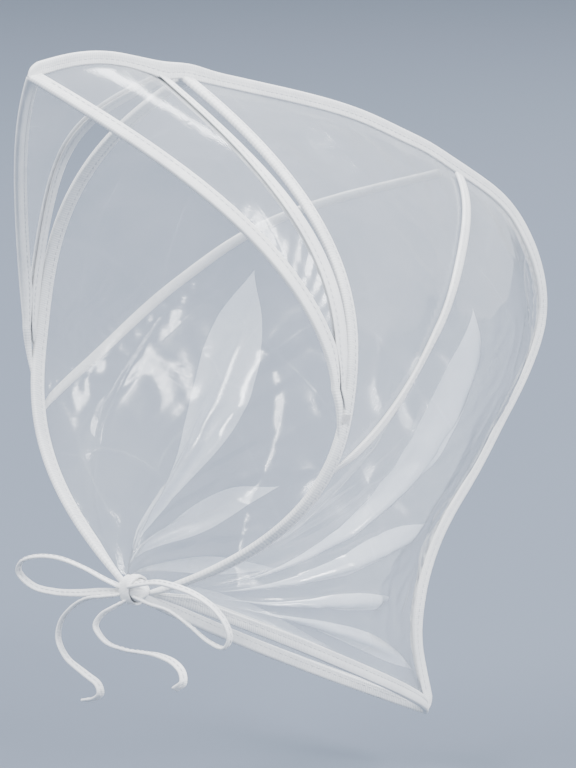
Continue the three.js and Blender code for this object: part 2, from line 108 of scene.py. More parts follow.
# Ties and knot
TIE_WIDTH = 3.8
TIE_WALL = 1.5
TIE_STEP = 0.6
TIE_TWIST = 0.5
TIE_FAR_END = {"bow_loop_right": "object", "bow_loop_left": "object"}
KNOT_WIDTH = 20.0
KNOT_HEIGHT = 14.0
KNOT_DEPTH = 13.0
KNOT_BACK = 5.0
KNOT_RISE = 2.5
KNOT_MIDDLE = np.array([0.0, KNOT_BACK, KNOT_RISE])

# Turns of tape round the knot. Columns: tilt, width, shift, size, start and turns.
KNOT_WRAPS = [(0.5, 7.4, 0.0, 0.98, 1.2, 1.0), (2.0, 4.6, 0.4, 1.05, -2.4, 0.85)]

# Ribs fan from a chin corner up to the centre line, face edge first, lower edge last.
# Columns: depth, height, half width and bow, as shares of the sizes above.
RIBS = np.array([
    (0.135, 1.000, 1.00, 1.00),
    (0.475, 0.901, 0.94, 0.44),
    (0.645, 0.826, 0.87, -0.10),
    (0.755, 0.764, 0.81, -0.66),
    (0.930, 0.627, 0.71, -0.55),
    (1.000, 0.411, 0.62, -0.44),
    (0.868, 0.172, 0.55, -0.32),
    (0.732, -0.04, 0.49, -0.20),
    (0.682, -0.51, 0.44, -0.09),
    (0.714, -1.00, 0.42, 0.03),
])
RIB_DEPTHS = RIBS[:, 0] * HOOD_DEPTH
RIB_HEIGHTS = RIBS[:, 1] * np.where(RIBS[:, 1] < 0, NAPE_DROP, FACE_HEIGHT)
RIB_HALVES = RIBS[:, 2] * FACE_WIDTH / 2
RIB_BOWS = RIBS[:, 3] * PANEL_BOW

# Shares of a rib: where it is fullest, where the back seam forks off the face edge, where
# the temple is, and where the film starts. Powers say how fast each curve bends.
FULLEST = 0.45
RIB_POWER = 2.55
SEAM_RIB = 0.35
SEAM_FORK = 0.27
SEAM_POWER = 1.56
TEMPLE = 0.46
VISOR_POWER = 1.72
FILM_START = 0.02
FACE_START = 0.012
CROWN_START = 0.29
ROW_POWER = 0.9
SMALL = 1e-3

# Pleats. Columns: rib at the start and the end, share of the rib where it starts
# and ends, bend, half width in ribs, share of the pleat height.
PLEAT_HEIGHT = 7.0
PLEATS = [
    (0.70, 0.37, 0.07, 0.70, 1.0, 0.055, 1.0),
    (0.77, 0.70, 0.08, 0.64, 0.6, 0.050, 0.8),
    (0.83, 0.84, 0.10, 0.70, 1.0, 0.032, 0.6),
    (0.88, 0.95, 0.12, 0.84, 1.0, 0.028, 0.6),
]

# How wide each pleat is laid over the film, as a share of its width in the relief
PETAL_WIDTHS = [1.55, 1.10, 0.80, 1.00]

# Routes of the ties from the knot, as the part's source has them
TIE_ROUTES = {
    "bow_loop_right": [
        (-6, 1, 4), (-12.5, -1, 6), (-24, -5, 10.5), (-37.5, -9, 13.5), (-52, -12, 12.2),
        (-61, -13, 8), (-63.5, -12, 2.5), (-57, -9, -3.4), (-43.3, -6, -4.6), (-29, -3, -3),
        (-18, 0, -1), (-6, 3, 0.5),
    ],
    "bow_loop_left": [
        (5, 0, 6), (13.4, -1, 8.5), (22, 0, 10.6), (31, 1, 10.8), (44.8, 4, 8.3), (55, 7, 3),
        (61, 9, -4), (62.5, 10, -10.5), (58.5, 10, -15.8), (50, 8, -14), (41, 5, -8.1),
        (30, 2, -2.4), (18, 0.5, -1), (6, 2, 0),
    ],
    "tie_tail_right": [
        (-5, -1, 0), (-12.4, -3, -1.8), (-22, -4.2, -4.2), (-31.5, -5, -9.5), (-39.5, -6, -18),
        (-41.2, -6.5, -26.8), (-35, -7, -34.6), (-22.5, -6, -40.6), (-14, -5, -44.6),
        (-12.3, -5, -48.5), (-16, -5, -51.8), (-23.7, -6, -54.1),
    ],
    "tie_tail_left": [
        (-1, 0, -3), (-5, -3, -5.8), (-10.5, -5.5, -10), (-13, -7, -15.5), (-7, -6, -22.2),
        (4.6, -4, -24.4), (15, -2.6, -24), (25, -2, -23.4), (37, -2, -24.8), (44, -3, -28.2),
        (45.6, -4, -32.4), (41, -5, -36.3),
    ],
}

# Stitches: their length and gap, their distance from the ends of a row, and how deep
# they pull into a binding at a share of its width
STITCH = 2.3
STITCH_GAP = 0.9
STITCH_END = 0.8
STITCH_SHARE = 0.62
GROOVE = 0.16
THREAD = 0.42
THREAD_SIDES = 6

# Rings of one stitch. Columns: place along it, height and width.
STITCH_RINGS = np.array([
    (0.0, -0.10, 0.5), (0.12, 0.10, 0.95), (0.5, 0.18, 1.0), (0.88, 0.10, 0.95), (1.0, -0.10, 0.5),
])

# The back seam's two rows of stitches. Columns: distance from its middle and start.
SEAM_ROWS = [(-1.3, 0.0), (1.3, 1.4)]

# How far film moves off its plain surface in waves and puckers, how far from its seams
# it is free, how far the back sags beside the ridge, and the height of fine folds
FILM_WAVE = 1.6
VISOR_WAVE = 0.8
PUCKER = 0.7
VISOR_PUCKER = 0.4
PUCKER_PITCH = 10
PUCKER_REACH = 9
FREE_REACH = 22
RIDGE_SAG = 8.0
FOLD_HEIGHT = 0.38

# Grids of points, the step of the centre tape, and the step that a binding's weave takes
RIB_ROWS = 110
CROWN_COLUMNS = 40
BACK_COLUMNS = 150
VISOR_ROWS = 90
VISOR_COLUMNS = 30
PETAL_ROWS = 90
PETAL_COLUMNS = 18
HALF_STEPS = 160
TAPE_STEP = 1.3
WEAVE_STEP = 1.5

# Film's look: pitch of its old creases in metres, share of the pitch that a crease takes,
# veil that is added at a crease and at a slant, share of light that comes through the
# veil, and gloss straight on and at a slant
CREASE_PITCHES = [("X", 0.046), ("Y", 0.058)]
CREASE_LINE = 0.022
CREASE_VEIL = 0.12
SLANT_VEIL = 0.40
LIGHT_THROUGH = 0.35
FACING_GLOSS = 0.075
SLANT_GLOSS = 0.85

# Camera: its angles in degrees, with azimuth 0 at the front, its distance in metres, its
# lens, and the place that it looks at
AZIMUTH = 47
ELEVATION = 10.75
DISTANCE = 2.0
LENS = 194
LOOK_AT = Vector((0, 0.020, -0.144))

# Lights. Columns: name, azimuth, elevation, distance, width and height, power.
LIGHTS = [
    ("key", 350, 52, 4.0, (2.2, 2.2), 120),
    ("side", 95, 30, 4.0, (1.1, 2.4), 130),
    ("rear", 215, 45, 4.0, (2.4, 1.0), 80),
]
SKY_COLOUR = (0.90, 0.94, 1.0, 1)
SKY_STRENGTH = 0.8
FLOOR_COLOUR = (0.155, 0.182, 0.230, 1)
FLOOR_HALF = 30.0
FLOOR_GAP = 0.03
EXPOSURE = 0.35

# The hood's sides, as factors on the points of the wearer's left
FLIP = np.array([-1.0, 1.0, 1.0])
SIDES = {"left": np.ones(3), "right": FLIP}


def place(x, y, z):
    return np.stack(np.broadcast_arrays(x, y, z), axis=-1).astype(float)


def unit(v):
    return v / np.maximum(np.linalg.norm(v, axis=-1, keepdims=True), 1e-12)


def dot(a, b):
    return (a * b).sum(-1, keepdims=True)


def smoothstep(t):
    t = np.clip(t, 0, 1)
    return t * t * (3 - 2 * t)


def through(values, t):
    """Smooth run through equally spaced values."""
    last = len(values) - 1
    at = np.clip(t, 0, 1) * last
    i = np.minimum(np.floor(at).astype(int), last - 1)
    f = at - i
    ends = [2 * values[0] - values[1]], values, [2 * values[-1] - values[-2]]
    a, b, c, d = (np.concatenate(ends)[i + k] for k in range(4))
    return 0.5 * (
        2 * b + (c - a) * f + (2 * a - 5 * b + 4 * c - d) * f**2
        + (-a + 3 * b - 3 * c + d) * f**3
    )


def hood(rib, share):
    """Point of the plain hood on the wearer's left. Rib 0 is the face edge and rib 1
    the lower edge, share 0 the chin corner and share 1 the centre line."""
    depth = through(RIB_DEPTHS, rib) - CORNER_DEPTH
    rise = through(RIB_HEIGHTS, rib) - CORNER_RISE
    half = through(RIB_HALVES, rib)
    run = np.hypot(depth, rise)
    bow = through(RIB_BOWS, rib) * np.sin(np.pi * np.clip(share, 0, 1))
    below = np.clip((FULLEST - share) / FULLEST, 0, None) ** RIB_POWER
    above = np.clip((share - FULLEST) / (1 - FULLEST), 0, None) ** RIB_POWER
    x = np.where(share < FULLEST, half - (half - CORNER_SPREAD / 2) * below, half * (1 - above))
    return place(
        x,
        CORNER_DEPTH + depth * share + bow * rise / run,
        CORNER_RISE + rise * share - bow * depth / run,
    )


def surface_frame(surface, across, along):
    """Point, directions and rate of a surface, for arrays of places on it."""
    across, along = np.broadcast_arrays(np.asarray(across, float), np.asarray(along, float))
    v = np.clip(along, FILM_START, 1 - SMALL)
    low = np.maximum(across - SMALL, 0)
    high = np.minimum(across + SMALL, 1)
    forward = unit(surface(across, v + SMALL) - surface(across, v - SMALL))
    over = surface(high, v) - surface(low, v)
    over = over - forward * dot(over, forward)
    rate = np.linalg.norm(over, axis=-1) / (high - low)
    over = unit(over)
    return {
        "point": surface(across, along),
        "along": forward,
        "across": over,
        "outward": unit(np.cross(over, forward)),
        "rate": rate,
    }


def back_seam(share):
    run = np.clip((share - SEAM_FORK) / (1 - SEAM_FORK), 0, 1)
    return SEAM_RIB * (1 - (1 - run) ** SEAM_POWER)


def pleat_height(rib, share):
    height = np.zeros(np.broadcast(rib, share).shape)
    for start, end, first, last, bend, half, part in PLEATS:
        run = np.clip((share - first) / (last - first), 0, 1)
        width = half * (0.4 + 0.6 * run)
        middle = start + (end - start) * run**bend
        off = np.minimum(np.abs(rib - middle) / width, 1)
        crest = 0.55 * np.cos(np.pi * off / 2) ** 2 + 0.45 * (1 - off) ** 1.5
        height = height + PLEAT_HEIGHT * part * np.sin(np.pi * run) * crest
    return height


def visor_base(t):
    edge = hood(0.0, TEMPLE + (1 - TEMPLE) * t)
    slit = SIDE_SLIT * np.sin(np.pi * np.clip(t, 0, 1) ** 3) * math.sqrt(0.5)
    return edge + place(slit, -EDGE_GAP - slit - CROWN_SLIT * t * t, 0 * t)


def visor_rim(t):
    root = hood(0.0, np.array(TEMPLE)) + np.array([0, -ROOT_GAP, 0])
    depth = -VISOR_REACH - root[1]
    rise = FACE_HEIGHT + VISOR_RISE - root[2]
    run = math.hypot(depth, rise)
    sag = VISOR_SAG * np.sin(np.pi * np.clip(t, 0, 1) ** 0.8)
    x = root[0] * (1 - np.clip(t, 0, None) ** VISOR_POWER)
    return place(x, root[1] + depth * t + sag * rise / run, root[2] + rise * t - sag * depth / run)


def visor(across, t):
    """Point of the visor. Across 0 is its rear edge and 1 its front edge."""
    across, t = np.broadcast_arrays(np.asarray(across, float), np.asarray(t, float))
    base, rim = visor_base(t), visor_rim(t)
    lift = VISOR_DOME * t * t * np.sin(np.pi * across)
    out = unit(rim - base)
    flat = base + (rim - base) * across[..., None]
    return flat + place(0 * t, out[..., 2] * lift, np.abs(out[..., 1]) * lift)


def to_frame(points):
    return (np.asarray(points) + SHIFT) * MM


def new_mesh(name, points, faces, uvs=None):
    """A mesh object from points in millimetres and faces, with a uv for each point."""
    mesh = bpy.data.meshes.new(name)
    mesh.from_pydata(to_frame(points).tolist(), [], [tuple(f) for f in faces])
    if uvs is not None:
        layer = mesh.uv_layers.new(name="Place")
        index = np.zeros(len(mesh.loops), np.int32)
        mesh.loops.foreach_get("vertex_index", index)
        layer.data.foreach_set("uv", np.asarray(uvs, np.float32)[index].ravel())
    mesh.polygons.foreach_set("use_smooth", [True] * len(mesh.polygons))
    mesh.update()
    piece = bpy.data.objects.new(name, mesh)
    bpy.context.scene.collection.objects.link(piece)
    return piece


def grid_faces(rows, columns, closed=False):
    """Quads of a grid of points, row by row. A closed grid joins its last column to its first."""
    r = np.arange(rows - 1)[:, None] * columns
    c = np.arange(columns if closed else columns - 1)[None, :]
    d = (c + 1) % columns
    return np.stack([r + c, r + d, r + columns + d, r + columns + c], -1).reshape(-1, 4)


def dress(piece, material, slot, *nodes):
    piece.data.materials.clear()
    piece.data.materials.append(material)
    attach(piece, "root")
    if nodes:
        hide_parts(*nodes)
    return piece


# Materials

class Nodes:
    """Small helper for building a material's node tree."""

    def __init__(self, name):
        self.material = bpy.data.materials.new(name)
        self.material.use_nodes = True
        self.tree = self.material.node_tree
        self.shader = self.tree.nodes["Principled BSDF"]

    def add(self, kind, inputs=None, **settings):
        node = self.tree.nodes.new(kind)
        for key, value in settings.items():
            setattr(node, key, value)
        for key, value in (inputs or {}).items():
            if isinstance(value, bpy.types.NodeSocket):
                self.tree.links.new(value, node.inputs[key])
            else:
                node.inputs[key].default_value = value
        return node

    def join(self, output, node, key):
        self.tree.links.new(output, node.inputs[key])

    def math(self, operation, a, b=0.0, c=0.0):
        return self.add("ShaderNodeMath", {0: a, 1: b, 2: c}, operation=operation).outputs[0]

    def ramp(self, factor, stops):
        node = self.add("ShaderNodeValToRGB", {0: factor})
        points = node.color_ramp.elements
        while len(points) < len(stops):
            points.new(0.5)
        for point, (position, colour) in zip(points, stops):
            point.position = position
            point.color = (*colour, 1)
        return node.outputs["Color"]


def film_material(name, least, most):
    """Clear plastic film with a white veil from least to most, fine scuffs and the
    faint creases that it was folded on. It has gloss on both its faces."""
    n = Nodes(name)
    spot = n.add("ShaderNodeTexCoord").outputs["Object"]
    haze = n.add("ShaderNodeTexNoise", {"Vector": spot, "Scale": 22.0, "Detail": 5.0, "Roughness": 0.6})
    scuff = n.add("ShaderNodeTexNoise", {"Vector": spot, "Scale": 380.0, "Detail": 4.0})
    ripple = n.add(
        "ShaderNodeTexNoise",
        {"Vector": spot, "Scale": 55.0, "Detail": 3.0, "Roughness": 0.45, "Distortion": 0.6},
    )
    place_on = n.add("ShaderNodeUVMap", uv_map="Place").outputs[0]
    split = n.add("ShaderNodeSeparateXYZ", {0: place_on})
    creases = None
    for axis, pitch in CREASE_PITCHES:
        phase = n.math("FRACT", n.math("DIVIDE", split.outputs[axis], pitch))
        off = n.math("ABSOLUTE", n.math("SUBTRACT", phase, 0.5))
        line = n.math("SUBTRACT", 1.0, n.math("MINIMUM", n.math("DIVIDE", off, CREASE_LINE), 1.0))
        creases = line if creases is None else n.math("MAXIMUM", creases, line)
    creases = n.math("MULTIPLY", creases, haze.outputs["Fac"])
    facing = n.add("ShaderNodeLayerWeight", {"Blend": 0.3}).outputs["Facing"]
    veil = n.math("MULTIPLY_ADD", haze.outputs["Fac"], most - least, least)
    veil = n.math("MULTIPLY_ADD", creases, CREASE_VEIL, veil)
    veil = n.math("MULTIPLY_ADD", n.math("POWER", facing, 2.0), SLANT_VEIL, veil)
    rough = n.math("MULTIPLY_ADD", scuff.outputs["Fac"], 0.16, 0.10)
    height = n.math("MULTIPLY_ADD", creases, 0.30, ripple.outputs["Fac"])
    height = n.math("MULTIPLY_ADD", scuff.outputs["Fac"], 0.02, height)
    bump = n.add("ShaderNodeBump", {"Height": height, "Strength": 0.15, "Distance": 0.0012})
    colour = n.ramp(haze.outputs["Fac"], [(0.35, (0.86, 0.90, 0.96)), (0.7, (0.93, 0.96, 1.0))])
    shader = n.shader
    shader.inputs["IOR"].default_value = 1.5
    n.join(colour, shader, "Base Color")
    n.join(rough, shader, "Roughness")
    n.join(bump.outputs["Normal"], shader, "Normal")
    clear = n.add("ShaderNodeBsdfTransparent")
    through_it = n.add("ShaderNodeBsdfTranslucent", {"Color": colour})
    parts = {0: LIGHT_THROUGH, 1: shader.outputs[0], 2: through_it.outputs[0]}
    lit = n.add("ShaderNodeMixShader", parts)
    gloss = n.add("ShaderNodeBsdfGlossy", {"Roughness": rough, "Normal": bump.outputs["Normal"]})
    body = n.add("ShaderNodeMixShader", {0: veil, 1: clear.outputs[0], 2: lit.outputs[0]})
    slant = n.add("ShaderNodeLayerWeight", {"Blend": 0.5, "Normal": bump.outputs["Normal"]})
    steep = n.math("POWER", slant.outputs["Facing"], 5.0)
    edge = n.math("MULTIPLY_ADD", steep, SLANT_GLOSS, FACING_GLOSS)
    whole = n.add("ShaderNodeMixShader", {0: edge, 1: body.outputs[0], 2: gloss.outputs[0]})
    n.join(whole.outputs[0], n.tree.nodes["Material Output"], "Surface")
    return n.material


def tape_material(name, rib, light, dark, relief=0.0002):
    """White ribbed tape: ribs across it, finer threads along it, and uneven tone."""
    n = Nodes(name)
    place_on = n.add("ShaderNodeUVMap", uv_map="Place").outputs[0]
    split = n.add("ShaderNodeSeparateXYZ", {0: place_on})
    spot = n.add("ShaderNodeTexCoord").outputs["Object"]
    grime = n.add("ShaderNodeTexNoise", {"Vector": spot, "Scale": 45.0, "Detail": 6.0, "Roughness": 0.65})
    fuzz = n.add("ShaderNodeTexNoise", {"Vector": spot, "Scale": 1900.0, "Detail": 2.0})
    drift = n.math("MULTIPLY_ADD", grime.outputs["Fac"], 1.6, n.math("DIVIDE", split.outputs["X"], rib))
    ribs = n.math("MULTIPLY_ADD", n.math("SINE", n.math("MULTIPLY", drift, 2 * math.pi)), 0.5, 0.5)
    threads = n.math("DIVIDE", split.outputs["Y"], rib * 0.6)
    threads = n.math("MULTIPLY_ADD", n.math("SINE", n.math("MULTIPLY", threads, 2 * math.pi)), 0.5, 0.5)
    weave = n.math("MULTIPLY_ADD", threads, 0.3, n.math("MULTIPLY", ribs, 0.7))
    mixed = n.math("MULTIPLY_ADD", weave, 0.30, n.math("MULTIPLY", grime.outputs["Fac"], 0.70))
    colour = n.ramp(mixed, [(0.25, dark), (0.6, light)])
    height = n.math("MULTIPLY_ADD", fuzz.outputs["Fac"], 0.4, weave)
    bump = n.add("ShaderNodeBump", {"Height": height, "Strength": 0.6, "Distance": relief})
    rough = n.math("MULTIPLY_ADD", grime.outputs["Fac"], 0.25, 0.5)
    n.join(colour, n.shader, "Base Color")
    n.join(rough, n.shader, "Roughness")
    n.join(bump.outputs["Normal"], n.shader, "Normal")
    n.shader.inputs["Sheen Weight"].default_value = 0.12
    n.shader.inputs["Sheen Roughness"].default_value = 0.5
    return n.material


def thread_material():
    """Sewing thread, twisted, a little darker and smoother than the tape."""
    n = Nodes("sewing_thread")
    spot = n.add("ShaderNodeTexCoord").outputs["Object"]
    twist = n.add("ShaderNodeTexWave", {"Vector": spot, "Scale": 900.0, "Distortion": 3.0})
    colour = n.ramp(twist.outputs["Fac"], [(0.2, (0.62, 0.63, 0.66)), (0.8, (0.80, 0.80, 0.80))])
    bump = n.add("ShaderNodeBump", {"Height": twist.outputs["Fac"], "Strength": 0.5, "Distance": 0.0001})
    n.join(colour, n.shader, "Base Color")
    n.join(bump.outputs["Normal"], n.shader, "Normal")
    n.shader.inputs["Roughness"].default_value = 0.4
    return n.material


FILM_LOOK = film_material("clear_film", 0.11, 0.24)
# The pleats' film has a much stronger white veil than the plain film: partly the doubled film of a pleat,
# partly a painted highlight that stands in for the light the pleats catch.
PLEAT_LOOK_WITH_PAINTED_HIGHLIGHT = film_material("pleated_film_painted_highlight", 0.64, 0.82)
TAPE_LOOK = tape_material("binding_tape", 0.0011, (0.88, 0.88, 0.87), (0.68, 0.69, 0.71))
TIE_LOOK = tape_material("tie_tape", 0.0008, (0.88, 0.88, 0.87), (0.66, 0.67, 0.70), 0.00012)
KNOT_LOOK = tape_material("knot_tape", 0.0007, (0.87, 0.87, 0.86), (0.62, 0.63, 0.66), 0.0001)
THREAD_LOOK = thread_material()


# Camera

def aim(thing, azimuth, elevation, distance):
    """Puts a camera or a light at a distance from the bonnet, facing it."""
    a, e = math.radians(azimuth), math.radians(elevation)
    back = Vector((math.sin(a) * math.cos(e), -math.cos(a) * math.cos(e), math.sin(e)))
    thing.location = LOOK_AT + back * distance
    thing.rotation_mode = "QUATERNION"
    thing.rotation_quaternion = (-back).to_track_quat("-Z", "Y")


def make_camera():
    data = bpy.data.cameras.new("camera")
    data.lens = LENS
    data.clip_start = 0.05
    data.clip_end = 200
    camera = bpy.data.objects.new("camera", data)
    bpy.context.scene.collection.objects.link(camera)
    aim(camera, AZIMUTH, ELEVATION, DISTANCE)
    bpy.context.scene.camera = camera


# Ties: a narrow tape folded on itself, along each route

def catmull(points, samples):
    """Centripetal run through points, as the part's source has it, evenly spaced."""
    points = np.asarray(points, float)
    padded = np.concatenate([
        [2 * points[0] - points[1]], points, [2 * points[-1] - points[-2]],
    ])
    knots = np.concatenate([[0], np.cumsum(np.linalg.norm(np.diff(padded, axis=0), axis=1) ** 0.5)])
    line = []
    for i in range(1, len(padded) - 2):
        t = np.linspace(knots[i], knots[i + 1], 40, endpoint=False)[:, None]
        k = knots[i - 1:i + 3]
        p = padded[i - 1:i + 3]
        a = [((k[j + 1] - t) * p[j] + (t - k[j]) * p[j + 1]) / (k[j + 1] - k[j]) for j in range(3)]
        b = [((k[j + 2] - t) * a[j] + (t - k[j]) * a[j + 1]) / (k[j + 2] - k[j]) for j in range(2)]
        line.append(((k[2] - t) * b[0] + (t - k[1]) * b[1]) / (k[2] - k[1]))
    line = np.concatenate([*line, padded[-2:-1]])
    along = np.concatenate([[0], np.cumsum(np.linalg.norm(np.diff(line, axis=0), axis=1))])
    at = np.linspace(0, along[-1], samples)
    return np.stack([np.interp(at, along, line[:, k]) for k in range(3)], 1), along[-1]


def tape_section(width, wall, points=20):
    """Outline of a tape folded in half, with flat faces and round edges."""
    turn = np.linspace(0, 2 * np.pi, points, endpoint=False)
    across = np.sign(np.cos(turn)) * np.abs(np.cos(turn)) ** 0.75 * width / 2
    up = np.sign(np.sin(turn)) * np.abs(np.sin(turn)) ** 0.6 * wall / 2
    return np.stack([across, up], 1)


def run_of(line):
    """Unit directions along a line of points."""
    return unit(np.gradient(line, axis=0))


def carry(line, first):
    """A direction carried along a line with no twist of its own."""
    along = run_of(line)
    across = [unit(first - along[0] * dot(first, along[0]))]
    for d in along[1:]:
        across.append(unit(across[-1] - d * dot(across[-1], d)))
    return along, np.array(across)


def sweep_tape(line, across, section):
    """Rings of a section along a line. The section's first axis lies along across."""
    up = unit(np.cross(run_of(line), across))
    return line[:, None] + across[:, None] * section[None, :, :1] + up[:, None] * section[None, :, 1:]


def ring_mesh(name, rings, uv_step):
    """A closed tube through rings, with flat ends, and its place along and around."""
    count, sides = rings.shape[:2]
    points = rings.reshape(-1, 3)
    faces = grid_faces(count, sides, closed=True).tolist()
    faces.append(list(range(sides))[::-1])
    faces.append([(count - 1) * sides + k for k in range(sides)])
    run = np.arange(count) * uv_step
    around = np.concatenate([[0], np.cumsum(np.linalg.norm(np.diff(rings[0], axis=0), axis=1))])
    uvs = np.stack(np.broadcast_arrays(run[:, None] * MM, around[None] * MM), -1).reshape(-1, 2)
    return new_mesh(name, points, faces, uvs)


def tuck(ring, path, last, steps=14):
    """Rings that carry a tape's end ring on along a path while it narrows to a share of
    its size. The path starts at the ring's middle, which is added here."""
    middle = ring.mean(0)
    line = catmull([middle, *path], steps)[0]
    along = run_of(line)
    rings, offset = [], ring - middle
    for k in range(1, steps):
        turn = Vector(along[k - 1]).rotation_difference(Vector(along[k])).to_matrix()
        offset = offset @ np.array(turn).T
        size = 1 - (1 - last) * float(smoothstep(k / (steps - 1)))
        rings.append(line[k] + offset * size)
    return np.array(rings)


def into_knot(ring, way):
    """The root of a tie, which carries its end on into the middle of the knot."""
    middle = ring.mean(0)
    inside = KNOT_MIDDLE + (middle - KNOT_MIDDLE) * 0.3
    straight = middle + way * 1.6
    root = tuck(ring, [straight, straight * 0.4 + inside * 0.6, inside], 0.6, 8)
    root = np.concatenate([[ring], root])
    return root.reshape(-1, 3), grid_faces(*root.shape[:2], closed=True)


def make_tie(name, route):
    """A tie with its stitches. It gives back the roots that the knot holds."""
    length = catmull(route, 10)[1]
    line, length = catmull(route, int(length / TIE_STEP))
    along, across = carry(line, np.array([0.0, 1.0, 0.15]))
    run = np.linspace(0, 1, len(line))[:, None]
    turn = TIE_TWIST * run + 0.22 * np.sin(9 * run + TIE_TWIST)
    side = np.cross(along, across)
    across = unit(across * np.cos(turn) + side * np.sin(turn))
    rings = sweep_tape(line, across, tape_section(TIE_WIDTH, TIE_WALL))
    tie = ring_mesh(name + "_tape", rings, TIE_STEP)
    dress(tie, TIE_LOOK, "tie", name)
    roots = [into_knot(rings[0], -along[0])]
    if name in TIE_FAR_END:
        roots.append(into_knot(rings[-1], along[-1]))
    up = unit(np.cross(along, across))
    rows = [stitch_row(line + up * h * TIE_WALL / 2, up * h, across) for h in (1, -1)]
    stitches = stitch_piece(name + "_stitches", rows, "tie")
    return roots


# Stitching: rows of short threads that dip into the tape at both ends

def thread(line, out, up, radius):
    """Rings of a thread along a line, or along many lines at once."""
    around = np.linspace(0, 2 * np.pi, THREAD_SIDES, endpoint=False)
    wide = (np.cos(around) * radius[..., None])[..., None]
    high = (np.sin(around) * radius[..., None])[..., None]
    return line[..., None, :] + out[..., None, :] * wide + up[..., None, :] * high


def stitch_row(line, normal, across, start=0.0):
    """Points and faces of a row of stitches along a line on a surface."""
    steps = np.linalg.norm(np.diff(line, axis=0), axis=1)
    run = np.concatenate([[0], np.cumsum(steps)])
    starts = np.arange(STITCH_END + start, run[-1] - STITCH - STITCH_END, STITCH + STITCH_GAP)
    if not len(starts):
        return np.zeros((0, 3)), np.zeros((0, 4), int)
    share, rise, width = STITCH_RINGS.T
    at = starts[:, None] + STITCH * share[None]
    where = np.stack([np.interp(at, run, line[:, k]) for k in range(3)], -1)
    up = unit(np.stack([np.interp(at, run, normal[:, k]) for k in range(3)], -1))
    out = unit(np.stack([np.interp(at, run, across[:, k]) for k in range(3)], -1))
    rings = thread(where + up * rise[None, :, None], out, up, THREAD / 2 * width)
    count, rows = rings.shape[:2]
    one = grid_faces(rows, THREAD_SIDES, closed=True)
    faces = (one[None] + (np.arange(count) * rows * THREAD_SIDES)[:, None, None]).reshape(-1, 4)
    return rings.reshape(-1, 3), faces


def join_parts(parts):
    """One list of points and one of faces from several pairs of them."""
    points, faces, base = [], [], 0
    for some, quads in parts:
        points.append(some)
        faces.extend((np.asarray(quads) + base).tolist())
        base += len(some)
    return np.concatenate(points), faces


def stitch_piece(name, rows, slot):
    points, faces = join_parts(rows)
    stitches = new_mesh(name, points, faces)
    return dress(stitches, THREAD_LOOK, slot)


# Knot: a tape wrapped round the gathered ends of the loops

def knot_lobe(side):
    """Gathered tapes on one side of the knot: full near the wrap, creased and drawn in outward."""
    rows, sides = 34, 60
    out = np.linspace(0, 1, rows)[:, None]
    lon = np.linspace(0, 2 * np.pi, sides, endpoint=False)[None]
    full = np.sqrt(np.clip(1 - ((out - 0.38) / 0.62) ** 2, 0.001, 1)) * (0.9 + 0.1 * np.cos(3 * out))
    crease = 1 - 0.16 * (0.5 + 0.5 * np.cos(6 * lon + 1.7 * side + 1.2 * out)) ** 3 * smoothstep(out * 3)
    points = place(
        side * (0.6 + (KNOT_WIDTH / 2 - 0.8) * out) + 0 * lon,
        (KNOT_DEPTH / 2 - 1.0) * full * crease * np.cos(lon),
        (KNOT_HEIGHT / 2 - 1.2) * full * crease * np.sin(lon),
    )
    points = points + KNOT_MIDDLE + place(0, 0.3, 0.35 * side)
    faces = grid_faces(rows, sides, closed=True)
    return points.reshape(-1, 3), faces if side < 0 else faces[:, ::-1]


def knot_wrap(tilt, width, shift, size, start, turns):
    """Tape folded lengthwise and wound round the knot's waist, creased along its run."""
    steps, sides = int(110 * turns), 40
    turn = start + np.linspace(0, 2 * np.pi * turns, steps)
    grow = size + 0.05 * np.linspace(0, 1, steps)
    centre = place(
        shift + tilt * np.sin(turn * 0.5 + 0.6),
        grow * (KNOT_DEPTH / 2 - 0.7) * np.cos(turn),
        grow * (KNOT_HEIGHT / 2 - 0.7) * np.sin(turn),
    )
    outward = unit(place(0 * turn, np.cos(turn) / KNOT_DEPTH, np.sin(turn) / KNOT_HEIGHT))
    section = tape_section(1.0, 1.4, sides)
    ends = smoothstep(np.minimum(np.linspace(0, 12, steps), np.linspace(12, 0, steps)))
    waist = width * (1 - 0.14 * np.cos(2 * turn + 0.5)) * (0.35 + 0.65 * ends)
    folds = 0.22 * np.cos(4 * np.pi * section[:, 0])[None] * (0.6 + 0.4 * np.cos(turn))[:, None]
    rise = section[None, :, 1] * (0.3 + 0.7 * ends[:, None]) + folds * (section[None, :, 1] > 0)
    rings = (
        centre[:, None]
        + place(1.0, 0, 0) * (section[None, :, :1] * waist[:, None, None])
        + outward[:, None] * rise[..., None]
    )
    return (rings + KNOT_MIDDLE).reshape(-1, 3), grid_faces(steps, sides, closed=True)


def make_knot(tie_roots):
    wraps = [knot_wrap(*wrap) for wrap in KNOT_WRAPS]
    points, faces = join_parts([knot_lobe(-1), knot_lobe(1), *wraps, *tie_roots])
    knot = new_mesh("knot", points, faces, points[:, [2, 0]] * MM)
    return dress(knot, KNOT_LOOK, "tie", "tie_knot")


# Film panels

def noise_at(points, scale, seed):
    """Smooth noise from -1 to 1 at points, at a scale in millimetres."""
    shift = Vector((seed * 17.0, seed * 5.0, -seed * 11.0))
    flat = points.reshape(-1, 3) / scale
    values = [noise.noise(Vector(p) + shift) for p in flat]
    return np.array(values).reshape(points.shape[:-1])


def arc(points, axis):
    """Distance run along one axis of a grid of points."""
    steps = np.linalg.norm(np.diff(points, axis=axis), axis=-1)
    start = np.zeros_like(np.take(steps, [0], axis=axis))
    return np.cumsum(np.concatenate([start, steps], axis=axis), axis=axis)


def edge_distance(points, sides):
    """Distance from each point of a grid to the nearest of its named sides, and from
    its first row and its first column."""
    down, over = arc(points, 0), arc(points, 1)
    from_side = {"bottom": down[-1:] - down, "front": over, "rear": over[:, -1:] - over}
    return np.min([from_side[s] for s in sides], axis=0), down, over


